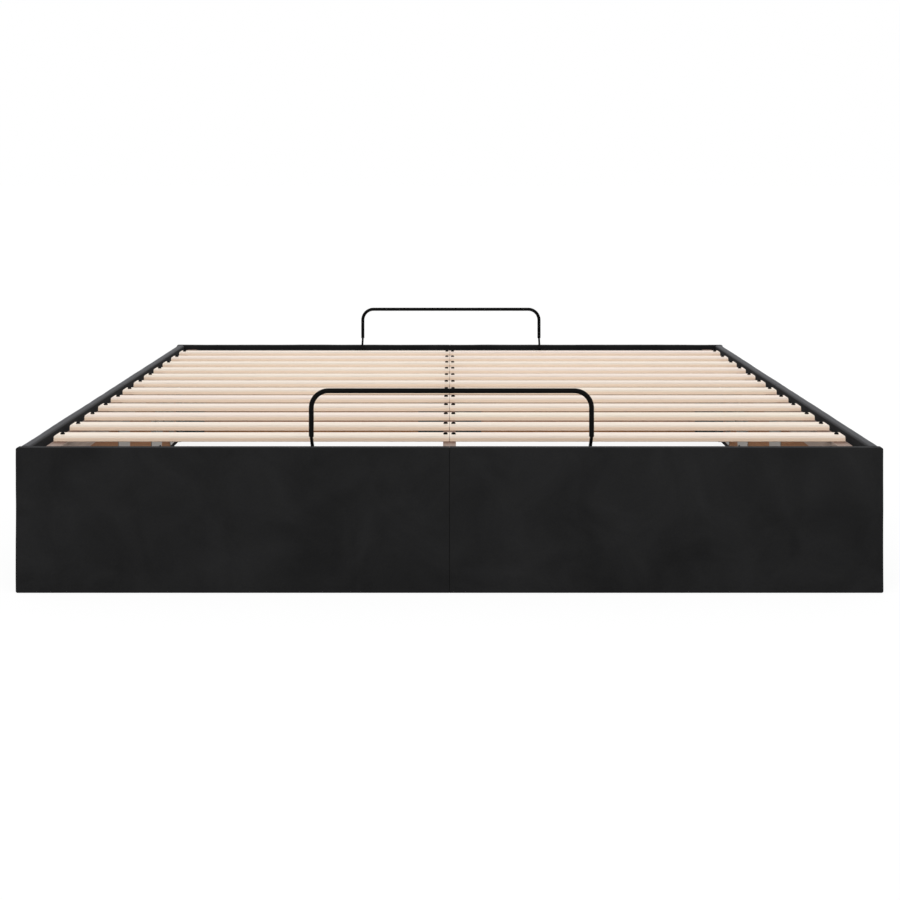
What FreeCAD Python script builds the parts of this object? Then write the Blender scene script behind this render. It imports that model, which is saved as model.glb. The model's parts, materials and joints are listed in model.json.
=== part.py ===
import FreeCAD, Part
import math
import os

# Low upholstered ottoman bed frame: four padded walls, a slatted platform that lifts from the foot,
# and a folding arm linkage with a gas spring on each side.
# X runs across the bed, Y from the foot (negative) to the head (positive), Z up from the floor.

V = FreeCAD.Vector

# Overall size
bed_width = 1824.0
bed_length = 2030.0
frame_height = 305.0

# Padded boards: a raw board, padding outside and a cloth turned over onto the inner face
board_thickness = 18.0
face_padding = 4.0
top_padding = 4.0
end_padding = 4.0
cloth_turn = 2.0
inner_turn_depth = 60.0
bottom_turn_width = 12.0
seam_gap = 0.6
panel_edge_radius = 4.0
rail_inset = 1.0
rail_outer_radius = 8.0
rail_inner_radius = 5.0

# Wall joints: steel angles in the corners, flat plates over the middle seams
bracket_leg = 70.0
bracket_height = 98.0
bracket_bottom = 14.0
bracket_thickness = 2.5
bracket_hole_offset = 42.0
panel_plate_width = 210.0
rail_plate_width = 150.0
rail_plate_bottom = 56.0
rail_plate_clearance = 13.0
joint_plate_thickness = 2.5
plate_hole_inset = 18.0
bracket_hole_shares = (0.2, 0.8)

# Screws in the boards and beams
screw_radius = 2.5
screw_length = 16.0
screw_head_radius = 5.5
screw_head_height = 3.0
screw_hole_clearance = 0.05
plate_hole_clearance = 0.3
screw_tip_clearance = 1.0

# Platform that carries the mattress
slat_drop = 1.5
slat_thickness = 12.0
slat_width = 60.0
slat_edge_radius = 5.0
slat_lower_radius = 1.5
slat_rows = 12
slat_first_offset = 190.0
slat_end_inset = 2.5
slat_middle_gap = 1.0
beam_width = 32.0
beam_height = 48.0
middle_beam_width = 28.0
cross_beam_width = 28.0
platform_end_clearance = 6.0
beam_screw_length = 60.0
beam_screw_shares = (0.25, 0.75)

# Slat bolts
bolt_head_radius = 5.0
bolt_head_height = 3.8
bolt_head_round = 1.8
bolt_shank_radius = 2.5
bolt_grip = 20.0
bolt_outer_inset = 12.5
bolt_inner_inset = 9.0

# Mattress stops: bent round bars with flattened feet
stop_width = 600.5
stop_rise = 124.6
stop_rod = 10.5
stop_bend_radius = 36.0
stop_setback = 8.0
stop_offset = 4.0
stop_leg_clearance = 23.0
stop_tip_width = 6.0
stop_tip_depth = 16.0
stop_tip_heel = 6.0
stop_tip_lap = 6.0
stop_tip_neck = 9.0
stop_foot_length = 44.0
stop_foot_depth = 24.0
stop_foot_thickness = 3.0
stop_screw_offset = 14.0
stop_screw_radius = 2.0
stop_screw_head_radius = 3.6
stop_screw_head_height = 2.2

# Lift linkage: places from the head end, and drops below the underside of the platform beams
rear_base_from_head = 289.0
rear_base_drop = 62.4
front_base_from_head = 581.1
front_base_drop = 127.0
rear_top_from_head = 92.7
rear_top_drop = 11.3
front_top_from_head = 142.8
front_top_drop = 23.1
arm_width = 30.0
arm_thickness = 4.5
lift_plate_thickness = 2.5
top_plate_thickness = 3.0
layer_gap = 0.5
pivot_radius = 5.0
pivot_clearance = 0.05
pivot_recess = 0.1
front_top_play = 1.9
pivot_collar_radius = 9.0
pivot_head_radius = 9.0
pivot_head_height = 2.5
pivot_side_gap = 0.3
base_plate_margin = 29.0
base_plate_round = 8.0
front_leg_width = 150.0
rear_leg_width = 62.0
leg_slope = 35.0
leg_bottom = 15.0
arch_drop = 30.0
top_plate_margin = 34.0
top_plate_lap = 38.0
top_plate_skirt = 18.0
top_plate_screw_height = 24.0
top_plate_screw_shares = (0.0, 1 / 3, 2 / 3, 1.0)

# Gas springs
spring_lug_reach = 337.9
spring_lug_offset = 35.0
spring_lug_radius = 13.0
spring_base_height = 30.5
spring_tube_radius = 10.0
spring_tube_wall = 1.5
spring_tube_bottom = 14.0
spring_tube_floor = 5.0
spring_tube_short = 36.0
spring_gland_length = 6.0
spring_rod_radius = 4.0
spring_rod_clearance = 0.3
spring_rod_tail = 26.0
spring_eye_radius = 10.0
spring_eye_width = 12.0
spring_side_gap = 1.5

# Blocks that the platform rests on at the foot corners
rest_block_length = 80.0
rest_block_depth = 40.0
rest_block_height = 40.0
rest_screw_inset = 20.0

cut_overrun = 2.0

# Places that follow from the sizes
panel_depth = face_padding + board_thickness + cloth_turn
half_width = bed_width / 2
half_length = bed_length / 2
panel_face_y = half_length - face_padding - board_thickness
rail_outer_x = half_width - rail_inset
rail_face_x = rail_outer_x - face_padding - board_thickness
slat_top = frame_height - slat_drop
beam_top = slat_top - slat_thickness
beam_bottom = beam_top - beam_height
platform_half_length = half_length - panel_depth - platform_end_clearance
rail_plate_top = frame_height - inner_turn_depth - rail_plate_clearance

# Layers of the linkage, from the side wall inwards
base_plate_x = rail_face_x - lift_plate_thickness
rear_arm_out_x = base_plate_x - layer_gap
rear_arm_in_x = rear_arm_out_x - arm_thickness
front_arm_out_x = rear_arm_in_x - layer_gap
front_arm_in_x = front_arm_out_x - arm_thickness
top_plate_x = front_arm_in_x - layer_gap
beam_outer_x = top_plate_x - top_plate_thickness
beam_inner_x = beam_outer_x - beam_width
spring_x = front_arm_in_x - spring_side_gap - spring_tube_radius

# Pivots of the linkage as (y, z)
rear_base = (half_length - rear_base_from_head, beam_bottom - rear_base_drop)
front_base = (half_length - front_base_from_head, beam_bottom - front_base_drop)
rear_top = (half_length - rear_top_from_head, beam_bottom - rear_top_drop)
front_top = (half_length - front_top_from_head, beam_bottom - front_top_drop)


def along(p, q, reach, offset):
    """Point at a reach from p towards q, and an offset to the left of that line."""
    length = math.hypot(q[0] - p[0], q[1] - p[1])
    dy = (q[0] - p[0]) / length
    dz = (q[1] - p[1]) / length
    return (p[0] + dy * reach - dz * offset, p[1] + dz * reach + dy * offset)


# The spring's two ends stand equally far from the front arm's base pivot,
# so it turns by half the arm's angle
spring_top = along(front_base, front_top, spring_lug_reach, spring_lug_offset)
spring_swing = math.hypot(spring_lug_reach, spring_lug_offset)
spring_fall = front_base[1] - spring_base_height
spring_base = (front_base[0] + math.sqrt(spring_swing ** 2 - spring_fall ** 2), spring_base_height)
spring_length = math.hypot(spring_top[0] - spring_base[0], spring_top[1] - spring_base[1])


def box(x0, x1, y0, y1, z0, z1):
    return Part.makeBox(x1 - x0, y1 - y0, z1 - z0, V(x0, y0, z0))


def mirror_x(shape):
    return shape.mirror(V(0, 0, 0), V(1, 0, 0))


def mirror_y(shape):
    return shape.mirror(V(0, 0, 0), V(0, 1, 0))


def parallel_edges(shape, direction):
    found = []
    for edge in shape.Edges:
        if len(edge.Vertexes) == 2:
            span = edge.Vertexes[1].Point - edge.Vertexes[0].Point
            if span.Length > 0 and abs(abs(span.normalize().dot(direction)) - 1) < 1e-6:
                found.append(edge)
    return found


def profile(points, x0, x1):
    """Plate with an outline of (y, z) points, between two places along X."""
    corners = [V(x0, y, z) for y, z in points]
    face = Part.Face(Part.makePolygon(corners + corners[:1]))
    return face.extrude(V(x1 - x0, 0, 0))


def stadium(p, q, radius, x0, x1):
    """Flat bar with round ends about two (y, z) points."""
    length = math.hypot(q[0] - p[0], q[1] - p[1])
    dy = (q[0] - p[0]) / length
    dz = (q[1] - p[1]) / length
    a = V(x0, p[0] - dz * radius, p[1] + dy * radius)
    b = V(x0, q[0] - dz * radius, q[1] + dy * radius)
    c = V(x0, q[0] + dz * radius, q[1] - dy * radius)
    d = V(x0, p[0] + dz * radius, p[1] - dy * radius)
    tip = V(x0, q[0] + dy * radius, q[1] + dz * radius)
    tail = V(x0, p[0] - dy * radius, p[1] - dz * radius)
    edges = [
        Part.LineSegment(a, b).toShape(),
        Part.Arc(b, tip, c).toShape(),
        Part.LineSegment(c, d).toShape(),
        Part.Arc(d, tail, a).toShape(),
    ]
    return Part.Face(Part.Wire(edges)).extrude(V(x1 - x0, 0, 0))


def pin(p, radius, x0, x1):
    """Round bar along X about a (y, z) point."""
    return Part.makeCylinder(radius, x1 - x0, V(x0, p[0], p[1]), V(1, 0, 0))


def screw(seat, direction, length):
    """Pan-head screw that enters along a direction from its seat."""
    head = Part.makeCylinder(screw_head_radius, screw_head_height, seat, direction * -1)
    shank = Part.makeCylinder(screw_radius, length, seat, direction)
    return head.fuse(shank).removeSplitter()


def screw_hole(seat, direction, length):
    radius = screw_radius + screw_hole_clearance
    return Part.makeCylinder(radius, length + screw_tip_clearance, seat, direction)


def plate_hole(seat, direction, thickness):
    """Hole through a plate whose outer face carries the screw head."""
    start = seat - direction * cut_overrun
    radius = screw_radius + plate_hole_clearance
    return Part.makeCylinder(radius, thickness + cut_overrun + cut_overrun, start, direction)


def drilled(shape, cutters):
    for cutter in cutters:
        shape = shape.cut(cutter)
    return shape


# Places of the screws in the walls, for the right-hand foot corner and the right-hand side
def bracket_seats():
    seats = []
    for share in bracket_hole_shares:
        z = bracket_bottom + bracket_height * share
        panel_seat = V(rail_face_x - bracket_hole_offset, -panel_face_y + bracket_thickness, z)
        rail_seat = V(rail_face_x - bracket_thickness, -panel_face_y + bracket_hole_offset, z)
        seats.append((panel_seat, V(0, -1, 0)))
        seats.append((rail_seat, V(1, 0, 0)))
    return seats


def panel_plate_seats():
    seats = []
    for x in (plate_hole_inset, panel_plate_width / 2 - plate_hole_inset):
        for z in (bracket_bottom + plate_hole_inset, bracket_bottom + bracket_height - plate_hole_inset):
            seats.append((V(x, -panel_face_y + joint_plate_thickness, z), V(0, -1, 0)))
    return seats


def rail_plate_seats():
    seats = []
    for y in (plate_hole_inset, rail_plate_width / 2 - plate_hole_inset):
        for z in (rail_plate_bottom + plate_hole_inset, rail_plate_top - plate_hole_inset):
            seats.append((V(rail_face_x - joint_plate_thickness, y, z), V(1, 0, 0)))
    return seats


def base_plate_seats():
    low = leg_bottom + base_plate_margin
    left = front_base[0] - base_plate_margin + plate_hole_inset
    right = spring_base[0] + base_plate_margin - plate_hole_inset / 2
    crown = (front_base[0] + rear_base[0]) / 2 + plate_hole_inset
    places = [
        (left, low),
        (left + front_leg_width - plate_hole_inset - plate_hole_inset, low),
        (crown, front_base[1]),
        (right, low + plate_hole_inset),
        (right, rear_base[1] - arm_width - plate_hole_inset),
    ]
    return [(V(base_plate_x, y, z), V(1, 0, 0)) for y, z in places]


rest_block_y = platform_half_length
rest_block_x = rail_face_x - rest_block_depth


def rest_block_seats():
    z = beam_bottom - rest_block_height / 2
    near = -rest_block_y + rest_screw_inset
    far = -rest_block_y + rest_block_length - rest_screw_inset
    return [(V(rest_block_x, y, z), V(1, 0, 0)) for y in (near, far)]


rest_screw_length = rest_block_depth + screw_length - bracket_thickness


def flip(seat, sx, sy):
    """Seat mirrored to another corner."""
    place, direction = seat
    return (V(place.x * sx, place.y * sy, place.z), V(direction.x * sx, direction.y * sy, direction.z))


# Walls
def rounded_panel(length, depth):
    block = box(0, length, 0, depth, 0, frame_height)
    return block.makeFillet(panel_edge_radius, block.Edges)


def panel_half():
    """Foot panel, right half, as board and cover."""
    length = half_width - seam_gap / 2
    board = box(cloth_turn, length - end_padding, face_padding, face_padding + board_thickness,
                cloth_turn, frame_height - top_padding)
    window_end = rail_face_x - seam_gap / 2
    window = box(-cut_overrun, window_end, face_padding + board_thickness, panel_depth + cut_overrun,
                 bottom_turn_width, frame_height - inner_turn_depth)
    cover = rounded_panel(length, panel_depth).cut(board).cut(window)
    place = V(seam_gap / 2, -half_length, 0)
    board.translate(place)
    cover.translate(place)
    holes = []
    for seat, direction in bracket_seats() + panel_plate_seats():
        if abs(direction.y) > 0:
            holes.append(screw_hole(seat, direction, screw_length))
    return drilled(board, holes), cover


def rail_half(seats):
    """Right side wall, head half, as board and cover, with its screw holes."""
    length = half_length - panel_depth - seam_gap / 2
    block = box(0, length, 0, panel_depth, 0, frame_height)
    for radius, depth in ((rail_outer_radius, 0), (rail_inner_radius, panel_depth)):
        rim = []
        for edge in parallel_edges(block, V(1, 0, 0)):
            point = edge.Vertexes[0].Point
            if abs(point.z - frame_height) < 1e-6 and abs(point.y - depth) < 1e-6:
                rim.append(edge)
        block = block.makeFillet(radius, rim)
    board = box(cloth_turn, length - cloth_turn, face_padding, face_padding + board_thickness,
                cloth_turn, frame_height - top_padding)
    window = box(-cut_overrun, length + cut_overrun, face_padding + board_thickness,
                 panel_depth + cut_overrun, bottom_turn_width, frame_height - inner_turn_depth)
    cover = block.cut(board).cut(window)
    for shape in (board, cover):
        shape.rotate(V(0, 0, 0), V(0, 0, 1), 90)
        shape.translate(V(rail_outer_x, seam_gap / 2, 0))
    holes = [screw_hole(seat, direction, length) for seat, direction, length in seats]
    return drilled(board, holes), cover


def corner_bracket():
    """Steel angle in the right-hand foot corner."""
    top = bracket_bottom + bracket_height
    panel_leg = box(rail_face_x - bracket_leg, rail_face_x, -panel_face_y,
                    -panel_face_y + bracket_thickness, bracket_bottom, top)
    rail_leg = box(rail_face_x - bracket_thickness, rail_face_x, -panel_face_y,
                   -panel_face_y + bracket_leg, bracket_bottom, top)
    angle = panel_leg.fuse(rail_leg).removeSplitter()
    return drilled(angle, [plate_hole(s, d, bracket_thickness) for s, d in bracket_seats()])


def panel_plate():
    """Flat plate over the middle seam of the foot panel."""
    half = panel_plate_width / 2
    plate = box(-half, half, -panel_face_y, -panel_face_y + joint_plate_thickness,
                bracket_bottom, bracket_bottom + bracket_height)
    holes = []
    for seat in panel_plate_seats():
        for sx in (1, -1):
            place, direction = flip(seat, sx, 1)
            holes.append(plate_hole(place, direction, joint_plate_thickness))
    return drilled(plate, holes)


def rail_plate():
    """Flat plate over the middle seam of the right-hand side wall."""
    half = rail_plate_width / 2
    plate = box(rail_face_x - joint_plate_thickness, rail_face_x, -half, half,
                rail_plate_bottom, rail_plate_top)
    holes = []
    for seat in rail_plate_seats():
        for sy in (1, -1):
            place, direction = flip(seat, 1, sy)
            holes.append(plate_hole(place, direction, joint_plate_thickness))
    return drilled(plate, holes)


def rest_block():
    """Wooden block in the right-hand foot corner that carries the lowered platform."""
    block = box(rest_block_x, rail_face_x, -rest_block_y, -rest_block_y + rest_block_length,
                beam_bottom - rest_block_height, beam_bottom)
    return drilled(block, [plate_hole(s, d, rest_block_depth) for s, d in rest_block_seats()])


def wall_screws():
    """Every screw in the four walls."""
    found = []
    for sx in (1, -1):
        for sy in (1, -1):
            for seat in bracket_seats() + panel_plate_seats() + rail_plate_seats():
                place, direction = flip(seat, sx, sy)
                found.append(screw(place, direction, screw_length))
        for seat in base_plate_seats():
            place, direction = flip(seat, sx, 1)
            found.append(screw(place, direction, screw_length))
        for seat in rest_block_seats():
            place, direction = flip(seat, sx, 1)
            found.append(screw(place, direction, rest_screw_length))
    return Part.makeCompound(found)


# Lift linkage, right-hand side
def base_plate():
    """Plate on the side wall with the fixed pins of both arms and of the gas spring."""
    left = front_base[0] - base_plate_margin
    right = spring_base[0] + base_plate_margin
    arch = front_base[1] - arch_drop
    outline = [
        (left, front_base[1] + base_plate_margin),
        (left, leg_bottom),
        (left + front_leg_width, leg_bottom),
        (left + front_leg_width + leg_slope, arch),
        (right - rear_leg_width - leg_slope, arch),
        (right - rear_leg_width, leg_bottom),
        (right, leg_bottom),
        (right, rear_base[1] + base_plate_margin),
        (rear_base[0] - base_plate_margin, rear_base[1] + base_plate_margin),
    ]
    plate = profile(outline, base_plate_x, rail_face_x)
    plate = plate.makeFillet(base_plate_round, parallel_edges(plate, V(1, 0, 0)))
    plate = drilled(plate, [plate_hole(s, d, lift_plate_thickness) for s, d in base_plate_seats()])
    eye_out = spring_x + spring_eye_width / 2 + pivot_side_gap
    eye_in = spring_x - spring_eye_width / 2 - pivot_side_gap
    arm_out = front_arm_out_x + pivot_side_gap
    arm_in = front_arm_in_x - pivot_side_gap
    pins = [
        pin(rear_base, pivot_radius, rear_arm_in_x + pivot_recess, base_plate_x),
        pin(front_base, pivot_collar_radius, arm_out, base_plate_x),
        pin(front_base, pivot_radius, arm_in, base_plate_x),
        pin(front_base, pivot_head_radius, arm_in - pivot_head_height, arm_in),
        pin(spring_base, pivot_collar_radius, eye_out, base_plate_x),
        pin(spring_base, pivot_radius, eye_in, base_plate_x),
        pin(spring_base, pivot_head_radius, eye_in - pivot_head_height, eye_in),
    ]
    return plate.multiFuse(pins).removeSplitter()


def rear_arm():
    bar = stadium(rear_base, rear_top, arm_width / 2, rear_arm_in_x, rear_arm_out_x)
    low = rear_arm_in_x - cut_overrun
    high = rear_arm_out_x + cut_overrun
    hole = pivot_radius + pivot_clearance
    return drilled(bar, [pin(place, hole, low, high) for place in (rear_base, rear_top)])


def front_arm():
    """Long arm with a lug and a stud for the gas spring."""
    bar = stadium(front_base, front_top, arm_width / 2, front_arm_in_x, front_arm_out_x)
    root = along(front_base, front_top, spring_lug_reach, 0)
    bar = bar.fuse(stadium(root, spring_top, spring_lug_radius, front_arm_in_x, front_arm_out_x))
    low = front_arm_in_x - cut_overrun
    high = front_arm_out_x + cut_overrun
    bar = bar.cut(pin(front_base, pivot_radius + pivot_clearance, low, high))
    bar = bar.cut(pin(front_top, pivot_radius + front_top_play, low, high))
    eye_out = spring_x + spring_eye_width / 2 + pivot_side_gap
    eye_in = spring_x - spring_eye_width / 2 - pivot_side_gap
    studs = [
        pin(spring_top, pivot_collar_radius, eye_out, front_arm_in_x),
        pin(spring_top, pivot_radius, eye_in, front_arm_in_x),
        pin(spring_top, pivot_head_radius, eye_in - pivot_head_height, eye_in),
    ]
    return bar.multiFuse(studs).removeSplitter()


def top_plate_seats():
    start = front_top[0] - top_plate_margin + plate_hole_inset / 2
    stop = rear_top[0] + top_plate_margin - plate_hole_inset / 2
    z = beam_bottom + top_plate_screw_height
    seats = []
    for share in top_plate_screw_shares:
        seats.append((V(top_plate_x, start + (stop - start) * share, z), V(-1, 0, 0)))
    return seats


def top_plate():
    """Plate on the platform's side beam with the moving pins of both arms."""
    low = min(rear_top[1], front_top[1]) - top_plate_skirt
    outline = [
        (front_top[0] - top_plate_margin, low),
        (rear_top[0] + top_plate_margin, low),
        (rear_top[0] + top_plate_margin, beam_bottom + top_plate_lap),
        (front_top[0] - top_plate_margin, beam_bottom + top_plate_lap),
    ]
    plate = profile(outline, beam_outer_x, top_plate_x)
    plate = plate.makeFillet(base_plate_round, parallel_edges(plate, V(1, 0, 0)))
    plate = drilled(plate, [plate_hole(s, d, top_plate_thickness) for s, d in top_plate_seats()])
    pins = [
        pin(rear_top, pivot_collar_radius, top_plate_x, rear_arm_in_x - pivot_side_gap),
        pin(rear_top, pivot_radius, top_plate_x, rear_arm_out_x - pivot_recess),
        pin(front_top, pivot_radius, top_plate_x, front_arm_out_x - pivot_recess),
    ]
    return plate.multiFuse(pins).removeSplitter()


def spring_frame(shape):
    """Turns a shape made along Z at the origin onto the gas spring's own line."""
    angle = math.degrees(math.atan2(spring_top[0] - spring_base[0], spring_top[1] - spring_base[1]))
    shape.rotate(V(0, 0, 0), V(1, 0, 0), -angle)
    shape.translate(V(spring_x, spring_base[0], spring_base[1]))
    return shape


def spring_eye(z):
    half = spring_eye_width / 2
    return Part.makeCylinder(spring_eye_radius, spring_eye_width, V(-half, 0, z), V(1, 0, 0))


def spring_eye_hole(z):
    half = spring_eye_width / 2 + cut_overrun
    return Part.makeCylinder(pivot_radius + pivot_clearance, half + half, V(-half, 0, z), V(1, 0, 0))


def spring_cylinder():
    top = spring_length - spring_tube_short
    floor = spring_tube_bottom + spring_tube_floor
    neck = spring_eye_width / 2
    body = Part.makeCylinder(spring_tube_radius, top - spring_tube_bottom, V(0, 0, spring_tube_bottom))
    body = body.fuse(Part.makeCylinder(neck, spring_tube_bottom + spring_tube_floor / 2, V(0, 0, 0)))
    body = body.fuse(spring_eye(0)).removeSplitter()
    bore = spring_tube_radius - spring_tube_wall
    body = body.cut(Part.makeCylinder(bore, top - spring_gland_length - floor, V(0, 0, floor)))
    gland = spring_rod_radius + spring_rod_clearance
    body = body.cut(Part.makeCylinder(gland, spring_length, V(0, 0, floor + cut_overrun)))
    return spring_frame(body.cut(spring_eye_hole(0)))


def spring_rod():
    rod = Part.makeCylinder(spring_rod_radius, spring_length - spring_rod_tail, V(0, 0, spring_rod_tail))
    rod = rod.fuse(spring_eye(spring_length)).removeSplitter()
    return spring_frame(rod.cut(spring_eye_hole(spring_length)))


# Platform
slat_last_offset = bed_length - slat_first_offset
slat_pitch = (slat_last_offset - slat_first_offset) / (slat_rows - 1)
slat_outer_x = beam_outer_x - slat_end_inset
slat_inner_x = slat_middle_gap / 2
bolt_xs = (slat_outer_x - bolt_outer_inset, bolt_inner_inset)


def slat_y(row):
    return -half_length + slat_first_offset + slat_pitch * row


def bolt_hole(x, y, z0, z1, clearance):
    return Part.makeCylinder(bolt_shank_radius + clearance, z1 - z0, V(x, y, z0))


def slat_row(row):
    """Right and left slats of one row, which meet over the middle beam."""
    y = slat_y(row)
    half = slat_width / 2
    slat = box(slat_inner_x, slat_outer_x, y - half, y + half, beam_top, slat_top)
    for radius, height in ((slat_edge_radius, slat_top), (slat_lower_radius, beam_top)):
        long_edges = parallel_edges(slat, V(1, 0, 0))
        level = [edge for edge in long_edges if abs(edge.CenterOfMass.z - height) < 1e-6]
        slat = slat.makeFillet(radius, level)
    low = beam_top - cut_overrun
    high = slat_top + cut_overrun
    for x in bolt_xs:
        slat = slat.cut(bolt_hole(x, y, low, high, plate_hole_clearance))
    return Part.makeCompound([slat, mirror_x(slat)])


def slat_bolts():
    """Round black bolt heads on the slats, with their shanks in the beams."""
    head = Part.makeCylinder(bolt_head_radius, bolt_head_height, V(0, 0, slat_top))
    rim = []
    for edge in head.Edges:
        if abs(edge.BoundBox.ZMin - slat_top - bolt_head_height) < 1e-6:
            if abs(edge.BoundBox.ZMax - slat_top - bolt_head_height) < 1e-6:
                rim.append(edge)
    head = head.makeFillet(bolt_head_round, rim)
    shank_length = slat_thickness + bolt_grip
    shank = Part.makeCylinder(bolt_shank_radius, shank_length, V(0, 0, beam_top - bolt_grip))
    bolt = head.fuse(shank).removeSplitter()
    found = []
    for row in range(slat_rows):
        for x in bolt_xs:
            for sx in (1, -1):
                copy = bolt.copy()
                copy.translate(V(x * sx, slat_y(row), 0))
                found.append(copy)
    return Part.makeCompound(found)


cross_outer_y = platform_half_length
cross_inner_y = platform_half_length - cross_beam_width
beam_screw_heights = [beam_bottom + beam_height * share for share in beam_screw_shares]
stop_half = stop_width / 2 - stop_rod / 2
stop_foot_y = platform_half_length - cross_beam_width / 2


def side_joint_seats():
    """Screws through the right side beam into the end of the foot cross beam."""
    y = -(cross_outer_y + cross_inner_y) / 2
    return [(V(beam_outer_x, y, z), V(-1, 0, 0)) for z in beam_screw_heights]


def middle_joint_seats():
    """Screws through the foot cross beam into the end of the middle beam."""
    return [(V(0, -cross_outer_y, z), V(0, 1, 0)) for z in beam_screw_heights]


def stop_seats():
    """Places of the small screws in both feet of the foot-end mattress stop."""
    z = beam_top + stop_foot_thickness
    return [V(stop_offset + foot * stop_half + side * stop_screw_offset, -stop_foot_y, z)
            for foot in (1, -1) for side in (1, -1)]


def side_beam():
    end = platform_half_length
    beam = box(beam_inner_x, beam_outer_x, -end, end, beam_bottom, beam_top)
    low = beam_top - bolt_grip - screw_tip_clearance
    high = beam_top + cut_overrun
    for row in range(slat_rows):
        beam = beam.cut(bolt_hole(bolt_xs[0], slat_y(row), low, high, screw_hole_clearance))
    for seat in side_joint_seats():
        for sy in (1, -1):
            place, direction = flip(seat, 1, sy)
            beam = beam.cut(screw_hole(place, direction, beam_width))
    for place, direction in top_plate_seats():
        beam = beam.cut(screw_hole(place, direction, screw_length))
    return beam


def middle_beam():
    half = middle_beam_width / 2
    beam = box(-half, half, -cross_inner_y, cross_inner_y, beam_bottom, beam_top)
    low = beam_top - bolt_grip - screw_tip_clearance
    high = beam_top + cut_overrun
    for row in range(slat_rows):
        for sx in (1, -1):
            place = bolt_xs[1] * sx
            beam = beam.cut(bolt_hole(place, slat_y(row), low, high, screw_hole_clearance))
    for seat in middle_joint_seats():
        for sy in (1, -1):
            place, direction = flip(seat, 1, sy)
            beam = beam.cut(screw_hole(place, direction, beam_screw_length))
    return beam


def cross_beam():
    """Beam across the foot end of the platform."""
    beam = box(-beam_inner_x, beam_inner_x, -cross_outer_y, -cross_inner_y, beam_bottom, beam_top)
    for seat in side_joint_seats():
        for sx in (1, -1):
            place, direction = flip(seat, sx, 1)
            beam = beam.cut(screw_hole(place, direction, beam_screw_length))
    for place, direction in middle_joint_seats():
        beam = beam.cut(screw_hole(place, direction, cross_beam_width))
    radius = stop_screw_radius + screw_hole_clearance
    for seat in stop_seats():
        top = V(seat.x, seat.y, beam_top)
        depth = screw_length + screw_tip_clearance
        beam = beam.cut(Part.makeCylinder(radius, depth, top, V(0, 0, -1)))
    return beam


def mattress_stop():
    """Bent bar over the foot panel, on two flattened feet screwed to the cross beam."""
    y = -half_length + stop_setback
    low = frame_height + stop_leg_clearance
    high = frame_height + stop_rise - stop_rod / 2
    bend = stop_bend_radius
    corner = bend - bend / math.sqrt(2)
    left = stop_offset - stop_half
    right = stop_offset + stop_half
    a = V(left, y, low)
    b = V(left, y, high - bend)
    b_mid = V(left + corner, y, high - corner)
    c = V(left + bend, y, high)
    d = V(right - bend, y, high)
    d_mid = V(right - corner, y, high - corner)
    e = V(right, y, high - bend)
    f = V(right, y, low)
    path = Part.Wire([
        Part.LineSegment(a, b).toShape(),
        Part.Arc(b, b_mid, c).toShape(),
        Part.LineSegment(c, d).toShape(),
        Part.Arc(d, d_mid, e).toShape(),
        Part.LineSegment(e, f).toShape(),
    ])
    ring = Part.Wire([Part.Circle(a, V(0, 0, 1), stop_rod / 2).toShape()])
    bar = path.makePipeShell([ring], True, False)
    neck = stop_tip_neck / 2
    deep = stop_tip_depth / 2
    outline = [
        (y - neck, low + stop_tip_lap),
        (y - neck, low),
        (-stop_foot_y - deep, beam_top + stop_tip_heel),
        (-stop_foot_y - deep, beam_top),
        (-stop_foot_y + deep, beam_top),
        (-stop_foot_y + deep, beam_top + stop_tip_heel),
        (y + neck, low),
        (y + neck, low + stop_tip_lap),
    ]
    pieces = []
    foot_x = stop_foot_length / 2
    foot_y = stop_foot_depth / 2
    for x in (left, right):
        pieces.append(profile(outline, x - stop_tip_width / 2, x + stop_tip_width / 2))
        pieces.append(box(x - foot_x, x + foot_x, -stop_foot_y - foot_y, -stop_foot_y + foot_y,
                          beam_top, beam_top + stop_foot_thickness))
    bar = bar.multiFuse(pieces).removeSplitter()
    radius = stop_screw_radius + plate_hole_clearance
    depth = stop_foot_thickness + cut_overrun + cut_overrun
    for seat in stop_seats():
        start = V(seat.x, seat.y, beam_top - cut_overrun)
        bar = bar.cut(Part.makeCylinder(radius, depth, start))
    return bar


def platform_screws():
    """Screws of the platform's frame, of its linkage plates and of the mattress stops."""
    found = []
    for sx in (1, -1):
        for sy in (1, -1):
            for seat in side_joint_seats():
                place, direction = flip(seat, sx, sy)
                found.append(screw(place, direction, beam_screw_length))
        for seat in top_plate_seats():
            place, direction = flip(seat, sx, 1)
            found.append(screw(place, direction, screw_length))
    for sy in (1, -1):
        for seat in middle_joint_seats():
            place, direction = flip(seat, 1, sy)
            found.append(screw(place, direction, beam_screw_length))
        for seat in stop_seats():
            place = V(seat.x, seat.y * sy, seat.z)
            head = Part.makeCylinder(stop_screw_head_radius, stop_screw_head_height, place)
            shank = Part.makeCylinder(stop_screw_radius, screw_length, place, V(0, 0, -1))
            found.append(head.fuse(shank).removeSplitter())
    return Part.makeCompound(found)


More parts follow.
